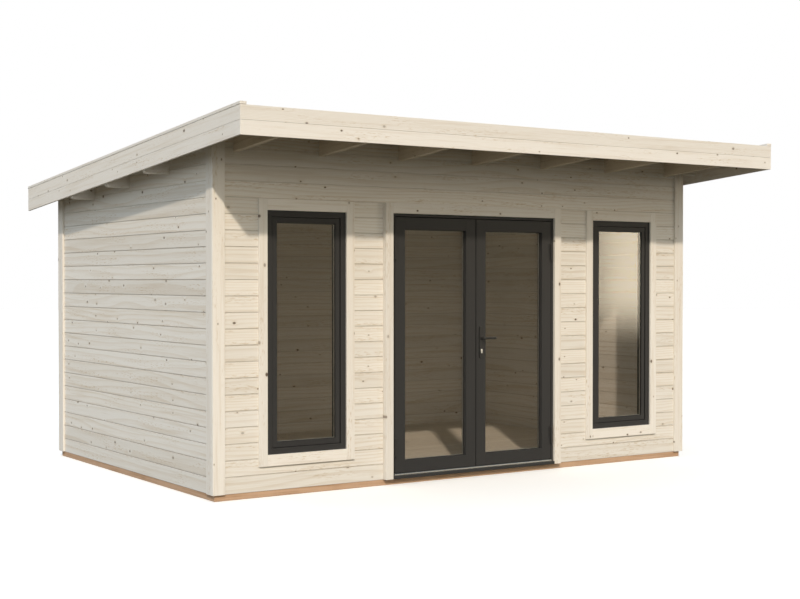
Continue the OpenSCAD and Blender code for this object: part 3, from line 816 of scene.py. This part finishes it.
class POD_OT_roof_edge(PodStep, bpy.types.Operator):
    """Plane the fascia boards and edge strips"""

    bl_idname = "pod.roof_edge"
    bl_label = "Roof edge"

    def execute(self, context):
        edge = context.scene.pod_boards.fine_edge
        fall = roof_fall()
        for node, look, slope in (
            ("fascia_front", "trim_spruce", 0.0),
            ("fascia_back", "trim_spruce", 0.0),
            ("fascia_left", "trim_spruce", fall),
            ("fascia_right", "trim_spruce", fall),
            ("roof_edge_strips", "clear_spruce", fall),
        ):
            dress(context.scene, node, node + "_planed", look, edge, fall=slope)
        return {"FINISHED"}


class POD_OT_roof_felt(PodStep, bpy.types.Operator):
    """Lay the roofing felt in lapped sheets"""

    bl_idname = "pod.roof_felt"
    bl_label = "Roofing felt"

    # Stations along a sheet, the height of its ripples and the run over which it climbs a lap.
    stations = 90
    ripple = 0.0006
    climb = 0.04

    def execute(self, context):
        boards = context.scene.pod_boards
        low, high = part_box("roof_felt")
        verts = frame["nodes"]["roof_felt"].data.vertices
        front_tops = sorted({round(v.co.z, 6) for v in verts if v.co.y < low.y + WELD})
        thick = front_tops[-1] - front_tops[0]
        fall = roof_fall()
        rng = random.Random("felt")
        mesh = bmesh.new()
        back = high.y
        while back > low.y + boards.felt_lap:
            front = max(back - boards.felt_width, low.y)
            laps_over = boards.felt_lap if back < high.y else 0.0
            lap = back - laps_over
            rows = [(front, 0.0), (back, 0.0)]
            if laps_over:
                rows = [(front, 0.0), (lap - self.climb, 0.0), (lap, thick), (back, thick)]
            rings = []
            for i in range(self.stations + 1):
                x = low.x + (high.x - low.x) * i / self.stations
                lift = rng.random() * self.ripple
                under = [(x, y, front_tops[0] - fall * (y - low.y) + up) for y, up in rows]
                over = [(x, y, z + thick + lift) for _, y, z in reversed(under)]
                rings.append(under + over)
            loft(mesh, rings)
            back = front + boards.felt_lap if front > low.y else low.y
        look = finish(context.scene, "roof_felt_grains")
        piece_of(mesh, "felt_sheets", "cabin", look, ["roof_felt"])
        return {"FINISHED"}


class POD_OT_base(PodStep, bpy.types.Operator):
    """Saw the ground bearers and the floor boards"""

    bl_idname = "pod.base"
    bl_label = "Bearers and floor"

    def execute(self, context):
        scene = context.scene
        boards = scene.pod_boards
        for node in ("bearers_long", "bearers_cross"):
            dress(scene, node, node + "_sawn", "treated_softwood", boards.sawn_edge)
        low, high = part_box("floor_boards")
        cuts = [(Y, spaced(low.y, high.y, boards.floor_cover))]
        edge = boards.planed_edge
        dress(scene, "floor_boards", "floor_boards_planed", "floor_spruce", edge, cuts)
        return {"FINISHED"}


def paint(scene, node, saws=()):
    """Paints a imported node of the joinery, sawn where its members meet."""
    edge = scene.pod_boards.paint_edge
    dress(scene, node, node + "_painted", "satin_paint", edge, saws)


def glaze(scene, node, name):
    """Glass, black seals in front of it and alloy spacers between the two panes of each unit."""
    dress(scene, node, name, "window_glass", GLASS_EDGE)
    body = body_of(node)
    seals = bmesh.new()
    spacers = bmesh.new()
    boxes = solid_boxes(node)
    cover = Vector((BEAD_COVER, 0.0, BEAD_COVER))
    front = Vector((0.0, SEAL_PROUD, 0.0))
    for (low, high), (inner, _) in zip(boxes[::2], boxes[1::2]):
        seal_end = Vector((high.x, low.y, high.z)) - cover
        ring_of_bars(seals, low + cover - front, seal_end, SEAL_WIDTH, SEAL_EDGE)
        spacer_start = Vector((low.x, high.y, low.z)) + cover / 3
        spacer_end = Vector((high.x, inner.y, high.z)) - cover / 3
        ring_of_bars(spacers, spacer_start, spacer_end, SPACER_WIDTH, SEAL_EDGE)
    piece_of(seals, node + "_seals", body, finish(scene, "glazing_seal"))
    piece_of(spacers, node + "_spacers", body, finish(scene, "drawn_alloy"))


class POD_OT_windows(PodStep, bpy.types.Operator):
    """Join and paint the window frames and sashes"""

    bl_idname = "pod.windows"
    bl_label = "Windows"

    def execute(self, context):
        for node, nth in (("window_frames", 1), ("window_sashes", 2), ("window_beads", 1)):
            paint(context.scene, node, [(X, ring_joints(node, nth))])
        glaze(context.scene, "window_panes", "window_glass")
        return {"FINISHED"}


class POD_OT_door_frame(PodStep, bpy.types.Operator):
    """Paint the door frame and draw the threshold strip"""

    bl_idname = "pod.door_frame"
    bl_label = "Door frame"

    # Shares of the height: the sill's fall and nose, and the strip's nose.
    sill_fall = 0.12
    sill_nose = 0.16
    strip_nose = 0.45
    # The strip's treads, and the groove between two: shares of a tread along the strip, and depths.
    tread = 0.003
    groove = ((0.0, 0.0), (0.3, 0.001), (0.9, 0.001), (1.2, 0.0))

    def execute(self, context):
        for node in ("door_jambs", "door_head", "door_threshold"):
            paint(context.scene, node)
        self.sill_nosing(context.scene)
        self.threshold_strip(context.scene)
        return {"FINISHED"}

    def sill_nosing(self, scene):
        """A nosing that brings the threshold out to the casings' face, with a sloped top and round front."""
        low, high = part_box("door_threshold")
        left, right = (corner.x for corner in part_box("door_jambs"))
        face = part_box("door_side_casings")[0].y
        tall = high.z - low.z
        fall = self.sill_fall * tall
        nose = self.sill_nose * tall
        top = high.z - fall - nose
        front = [(face + nose * (1 - math.cos(a)), top + nose * math.sin(a)) for a in NOSE_TURNS]
        outline = [(low.y - SHAVE, low.z), (face + SHAVE, low.z)] + front + [(low.y - SHAVE, high.z)]
        mesh = bmesh.new()
        loft(mesh, [[(x, y, z) for y, z in outline] for x in (right - SHAVE, left + SHAVE)])
        grade(mesh, "sill")
        piece_of(mesh, "door_sill_nosing", "cabin", finish(scene, "satin_paint"))

    def threshold_strip(self, scene):
        """A drawn strip with a rounded nose and fine treads."""
        low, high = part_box("threshold_strip")
        round_off = (high.z - low.z) * self.strip_nose
        nose = [
            (low.y + round_off * (1 - math.sin(a)), high.z - round_off * (1 - math.cos(a)))
            for a in reversed(NOSE_TURNS)
        ]
        first = nose[-1][0] + self.tread
        count = int((high.y - first) / (2 * self.tread)) - 1
        treads = []
        for i in range(count):
            y = first + 2 * self.tread * i
            treads += [(y + self.tread * along, high.z - deep) for along, deep in self.groove]
        outline = [(low.y, low.z)] + nose + treads + [(high.y, high.z), (high.y, low.z)]
        mesh = bmesh.new()
        loft(mesh, [[(x, y, z) for y, z in outline] for x in (low.x, high.x)])
        look = finish(scene, "drawn_alloy")
        piece_of(mesh, "threshold_strip_drawn", "cabin", look, ["threshold_strip"])


class POD_OT_door_leaves(PodStep, bpy.types.Operator):
    """Join, paint and glaze both door leaves"""

    bl_idname = "pod.door_leaves"
    bl_label = "Door leaves"

    def execute(self, context):
        for leaf in ("leaf_left", "leaf_right"):
            paint(context.scene, leaf + "_stiles")
            paint(context.scene, leaf + "_rails")
            beads = leaf + "_beads"
            paint(context.scene, beads, [(X, ring_joints(beads, 1))])
            glaze(context.scene, leaf + "_panes", leaf + "_glass")
        return {"FINISHED"}


class POD_OT_hinges(PodStep, bpy.types.Operator):
    """Turn the hinge barrels and screw on their plates"""

    bl_idname = "pod.hinges"
    bl_label = "Hinges"

    # A barrel's capped end: shares of its radius, and distances from its end.
    dome = (
        (0.35, 0.0), (0.72, 0.0012), (0.92, 0.003), (1.0, 0.006), (1.0, 0.010), (0.93, 0.011), (1.0, 0.012)
    )
    # A plate's thickness, how far it is let in and its edge, and the places and shape of its screws.
    thick = 0.004
    let_in = 0.001
    edge = 0.001
    screws_up = (0.28, 0.72)
    screws_in = 0.35
    screw = ((0.0034, 0.0), (0.0034, 0.0004), (0.0026, 0.0008), (0.0008, 0.0005))

    def execute(self, context):
        iron = finish(context.scene, "coated_iron")
        pivots = {joint["name"]: joint["pos_m"] for joint in frame["joints"]}
        cabin = bmesh.new()
        for side, node in (("left", "hinge_knuckles_left"), ("right", "hinge_knuckles_right")):
            x, y, _ = pivots[side + "_leaf_swing"]
            leaf = bmesh.new()
            for low, high in solid_boxes(node):
                radius = y - low.y
                self.barrel(leaf, x, y, radius, low.z, high.z, 1)
                far = low.x if side == "right" else high.x
                self.plate(leaf, x, far, y + radius, low.z, high.z)
            piece_of(leaf, node + "_turned", side + "_leaf", iron, [node])
        for low, high in solid_boxes("hinge_pins"):
            side = "left" if low.x < 0 else "right"
            x, y, _ = pivots[side + "_leaf_swing"]
            radius = y - low.y
            knuckle = min(solid_boxes("hinge_knuckles_" + side), key=lambda box: abs(box[0].z - high.z))
            top = knuckle[0].z - SHAVE
            self.barrel(cabin, x, y, radius, low.z, top, -1)
            self.plate(cabin, x, high.x if x > 0 else low.x, y + radius, low.z, top)
        piece_of(cabin, "hinge_pins_turned", "cabin", iron, ["hinge_pins"])
        return {"FINISHED"}

    def barrel(self, mesh, x, y, radius, low, high, cap):
        """Half a hinge barrel, with a dome and a groove at its top or its foot."""
        if cap > 0:
            profile = [(radius, low)] + [(radius * r, high - h) for r, h in reversed(self.dome)]
        else:
            profile = [(radius * r, low + h) for r, h in self.dome] + [(radius, high)]
        turned_z(mesh, x, y, profile)

    def plate(self, mesh, x, far, face, low, high):
        """A hinge plate on the joinery's face, with two countersunk screws."""
        left, right = sorted((x, far))
        back = face + self.let_in
        front = back - self.thick
        bar(mesh, (left, front, low), (right, back, high), self.edge)
        middle = far + (x - far) * self.screws_in
        for share_up in self.screws_up:
            button(mesh, middle, low + (high - low) * share_up, front, -1, self.screw)


class POD_OT_handle(PodStep, bpy.types.Operator):
    """Cast the lever handles and their back plates"""

    bl_idname = "pod.handle"
    bl_label = "Handle"

    # Steps of the lever's bend, points round the lever and radius of the bend.
    bend_steps = 8
    section = 24
    bend = 0.016
    # Gap between neck and plate, the neck's straight run, the grip's flatness and the spindle's radius.
    gap = 0.0004
    straight = 0.004
    flatness = 0.62
    spindle = 0.0049
    # The grip's end: distances from its tip, and shares of its section.
    tip_end = ((0.03, 0.98), (0.007, 0.94), (0.0035, 0.82), (0.001, 0.55), (0.0, 0.25))
    # A plate's edge, how far in its screws sit, and profiles: radius beyond the neck or radius, and height.
    plate_edge = 0.0012
    screws_in = 0.013
    collar = ((0.0005, 0.0), (0.005, 0.0), (0.0045, 0.0015), (0.0005, 0.002))
    screw = ((0.0036, 0.0), (0.0036, 0.0004), (0.0028, 0.0009), (0.0008, 0.0006))

    def execute(self, context):
        iron = finish(context.scene, "coated_iron")
        joint = next(j for j in frame["joints"] if j["name"] == "lever_turn")
        pivot = Vector(joint["pos_m"])
        low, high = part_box("handle_lever")
        outer, inner = solid_boxes("handle_plates")
        lever = bmesh.new()
        neck = pivot.z - low.z
        for plate_y, end, out in ((outer[0].y, low.y, -1), (inner[1].y, high.y, 1)):
            start = plate_y + out * self.gap
            self.lever(lever, pivot, start, end, out, neck, high.x)
        turned_y(lever, pivot.x, pivot.z, [(self.spindle, y) for y in (outer[0].y, inner[1].y)])
        piece_of(lever, "handle_lever_cast", "handle", iron, ["handle_lever"])
        self.plates(iron, pivot, neck)
        return {"FINISHED"}

    def lever(self, mesh, pivot, start, end, out, neck, tip):
        """One lever: a round neck that bends into a flattened grip with a rounded end."""
        thin = neck * self.flatness
        line = end - out * thin
        rings = []
        for y in (start, start + out * self.straight):
            rings.append(self.ring(Vector((pivot.x, y, pivot.z)), 0.0, out, neck, neck))
        for i in range(self.bend_steps + 1):
            turn = math.radians(90) * i / self.bend_steps
            share_flat = i / self.bend_steps
            x = pivot.x + self.bend * (1 - math.cos(turn))
            y = line - out * self.bend * (1 - math.sin(turn))
            centre = Vector((x, y, pivot.z))
            rings.append(self.ring(centre, turn, out, neck, neck + (thin - neck) * share_flat))
        for back, size in self.tip_end:
            centre = Vector((tip - back, line, pivot.z))
            rings.append(self.ring(centre, math.radians(90), out, neck * size, thin * size))
        loft(mesh, rings if out > 0 else [ring[::-1] for ring in rings])

    def ring(self, centre, turn, out, tall, wide):
        """One oval section of the lever, across its line."""
        across = Vector((math.cos(turn), -out * math.sin(turn), 0.0))
        points = circle(1.0, self.section)
        return [centre + across * (a * wide) + Vector((0.0, 0.0, b * tall)) for a, b in points]

    def plates(self, iron, pivot, neck):
        """Both back plates, with a collar round each neck and a screw at each end."""
        node = "handle_plates"
        plates = packed_solid(node)
        soften(plates, self.plate_edge)
        extra = bmesh.new()
        for (low, high), out in zip(solid_boxes(node), (-1, 1)):
            face = low.y if out < 0 else high.y
            collar = [(neck + beyond, height) for beyond, height in self.collar]
            button(extra, pivot.x, pivot.z, face, out, collar, hollow=True)
            for z in (low.z + self.screws_in, high.z - self.screws_in):
                button(extra, pivot.x, z, face, out, self.screw)
        piece_of(joined([plates, extra]), node + "_cast", "right_leaf", iron, [node])


class POD_OT_lock(PodStep, bpy.types.Operator):
    """Make the lock cylinder with its rotor, and dark bars that paint the shade of the key slot"""

    bl_idname = "pod.lock"
    bl_label = "Lock cylinder"

    # The web's, the rotor's and the rotor face's radius, each a share of the one before.
    web_share = 0.59
    rotor_share = 0.72
    face_share = 0.9
    # Steps round the head and the web, and the cylinder's edge.
    head_steps = 28
    web_steps = 14
    edge = 0.0006
    # The rotor's foot, rim and face from the cylinder's face, and the half width, depth and edge of the dark
    # bar that paints the key slot's shade.
    rotor_heights = (-0.001, 0.0004, 0.0008)
    slot_half = 0.0009
    slot_deep = 0.001
    slot_edge = 0.0003
    # How far the key slot runs down and up, in shares of the rotor's radius.
    slot_down = 0.72
    slot_up = 0.5

    def execute(self, context):
        scene = context.scene
        low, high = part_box("lock_cylinder")
        x = (low.x + high.x) / 2
        radius = (high.x - low.x) / 2
        centre = high.z - radius
        web = radius * self.web_share
        foot = low.z + web
        dip = math.asin(web / radius)
        whole = math.tau - 2 * dip
        start = math.radians(-90) + dip
        around = [start + whole * i / self.head_steps for i in range(self.head_steps + 1)]
        below = [math.pi + math.pi * i / self.web_steps for i in range(self.web_steps + 1)]
        outline = [(x + radius * math.cos(a), centre + radius * math.sin(a)) for a in around]
        outline += [(x + web * math.cos(a), foot + web * math.sin(a)) for a in below]
        body = bmesh.new()
        loft(body, [[(a, y, b) for a, b in outline] for y in (low.y, high.y)])
        soften(body, self.edge)
        rotor = radius * self.rotor_share
        profile = list(zip((rotor, rotor, rotor * self.face_share), self.rotor_heights))
        slot_low = centre - rotor * self.slot_down
        slot_high = centre + rotor * self.slot_up
        # Painted shade: a dark iron bar on each rotor face stands in for the shadowed key slot.
        slot_shade = bmesh.new()
        for face, out in ((low.y, -1), (high.y, 1)):
            button(body, x, centre, face, out, profile)
            near, far = sorted((face, face + out * self.slot_deep))
            first = (x - self.slot_half, near, slot_low)
            last = (x + self.slot_half, far, slot_high)
            bar(slot_shade, first, last, self.slot_edge)
        steel = finish(scene, "satin_steel")
        piece_of(body, "lock_cylinder_cut", "right_leaf", steel, ["lock_cylinder"])
        piece_of(slot_shade, "lock_key_slots", "right_leaf", finish(scene, "coated_iron"))
        return {"FINISHED"}


class POD_OT_stage(PodStep, bpy.types.Operator):
    """Set the floor, the light and the camera"""

    bl_idname = "pod.stage"
    bl_label = "Stage"

    floor_sides = 96
    floor_roughness = 0.9
    far_clip = 500.0

    def execute(self, context):
        scene = context.scene
        settings = scene.pod_stage
        scene.view_settings.view_transform = "Standard"
        self.floor(settings)
        self.light(scene, settings)
        self.camera(scene, settings)
        return {"FINISHED"}

    def floor(self, settings):
        """A pale round floor under the bearers."""
        mesh = bmesh.new()
        radius = settings.floor_radius
        bmesh.ops.create_circle(mesh, cap_ends=True, segments=self.floor_sides, radius=radius)
        data = bpy.data.meshes.new("studio_floor")
        mesh.to_mesh(data)
        mesh.free()
        floor = put("studio_floor", data)
        floor.location.z = CAD_BOX[0].z - SHAVE
        floor.visible_diffuse = False
        floor.visible_glossy = False
        material, shader, root = new_material("pale_floor")
        pale = opaque(settings.floor_colour)
        root.feed(shader, {"Base Color": pale, "Roughness": self.floor_roughness})
        root.feed(shader, {"Emission Color": pale, "Emission Strength": settings.floor_glow})
        data.materials.append(material)

    def light(self, scene, settings):
        """A soft sun and even air round the object. The camera sees a plain backdrop."""
        sun = bpy.data.lights.new("key_sun", "SUN")
        sun.energy = settings.sun_power
        sun.color = settings.sun_colour
        sun.angle = settings.sun_size
        lamp = put("key_sun", sun)
        lamp.rotation_mode = "QUATERNION"
        lamp.rotation_quaternion = Vector(settings.sun).to_track_quat("-Z", "Y")
        world = bpy.data.worlds.new("studio_air")
        world.use_nodes = True
        scene.world = world
        root = Shade(world.node_tree)
        x, y, up = root.make("ShaderNodeTexCoord", None, None, "Generated").parts()
        level = x.smooth(0.1, -0.7).mix(opaque(settings.level_colour), opaque(settings.left_colour))
        low_air = up.smooth(-0.16, 0.10).mix(opaque(settings.ground_colour), level)
        air = up.smooth(0.20, 0.65).mix(low_air, opaque(settings.sky_colour))
        panel = x.smooth(0.42, 0.28) * x.smooth(-0.85, -0.55) * y.smooth(0.0, -0.3)
        panel = panel * up.smooth(0.0, 0.12) * up.smooth(0.75, 0.55)
        near = x * math.cos(settings.card_near) + y * math.sin(settings.card_near)
        far = x * math.cos(settings.card_far) + y * math.sin(settings.card_far)
        card = near.smooth(-0.01, 0.04) * far.smooth(0.04, -0.02)
        card = card * up.smooth(-0.05, -0.006) * up.smooth(0.22, 0.12)
        lit = panel.mix(air, opaque(settings.panel_colour))
        lit = card.mix(lit, opaque(settings.card_colour, settings.card_power))
        soft = root.make("ShaderNodeBackground", None, {"Color": lit})
        plain = root.make("ShaderNodeBackground", None, {"Color": opaque(settings.backdrop)})
        seen = root.make("ShaderNodeLightPath", None, None, "Is Camera Ray")
        both = root.make("ShaderNodeMixShader", None, {0: seen, 1: soft, 2: plain})
        root.feed(world.node_tree.nodes["World Output"], {"Surface": both})

    def camera(self, scene, settings):
        """A level camera at the viewing angle."""
        lens = bpy.data.cameras.new("camera")
        lens.lens = settings.lens
        lens.clip_end = self.far_clip
        camera = put("camera", lens)
        camera.location = settings.eye
        camera.rotation_euler = (math.radians(90) + settings.tilt, 0.0, -settings.heading)
        scene.camera = camera


STEPS = (
    POD_OT_stage, POD_OT_wall_logs, POD_OT_trim_boards, POD_OT_roof_timber, POD_OT_roof_edge,
    POD_OT_roof_felt, POD_OT_base, POD_OT_windows, POD_OT_door_frame, POD_OT_door_leaves, POD_OT_hinges,
    POD_OT_handle, POD_OT_lock,
)


class POD_PT_build(bpy.types.Panel):
    """Settings and building steps of the pod"""

    bl_label = "Garden Office Pod"
    bl_idname = "POD_PT_build"
    bl_space_type = "VIEW_3D"
    bl_region_type = "UI"
    bl_category = "Pod"

    def draw(self, context):
        scene = context.scene
        for group in (scene.pod_boards, scene.pod_finish, scene.pod_stage):
            box = self.layout.box()
            for name in group.__annotations__:
                box.prop(group, name)
        for step in STEPS:
            self.layout.operator(step.bl_idname)


GROUPS = {"pod_boards": POD_Boards, "pod_finish": POD_Finish, "pod_stage": POD_Stage}


def register():
    """Registers the settings, the building steps and the panel."""
    for name, group in GROUPS.items():
        bpy.utils.register_class(group)
        setattr(bpy.types.Scene, name, bpy.props.PointerProperty(type=group))
    for cls in (*STEPS, POD_PT_build):
        bpy.utils.register_class(cls)


def unregister():
    """Takes everything out again, last first."""
    for cls in (POD_PT_build, *reversed(STEPS)):
        bpy.utils.unregister_class(cls)
    for name, group in reversed(GROUPS.items()):
        delattr(bpy.types.Scene, name)
        bpy.utils.unregister_class(group)


def main():
    """Builds the pod step by step."""
    register()
    for step in STEPS:
        family, name = step.bl_idname.split(".")
        getattr(getattr(bpy.ops, family), name)()


if __name__ == "__main__":
    main()
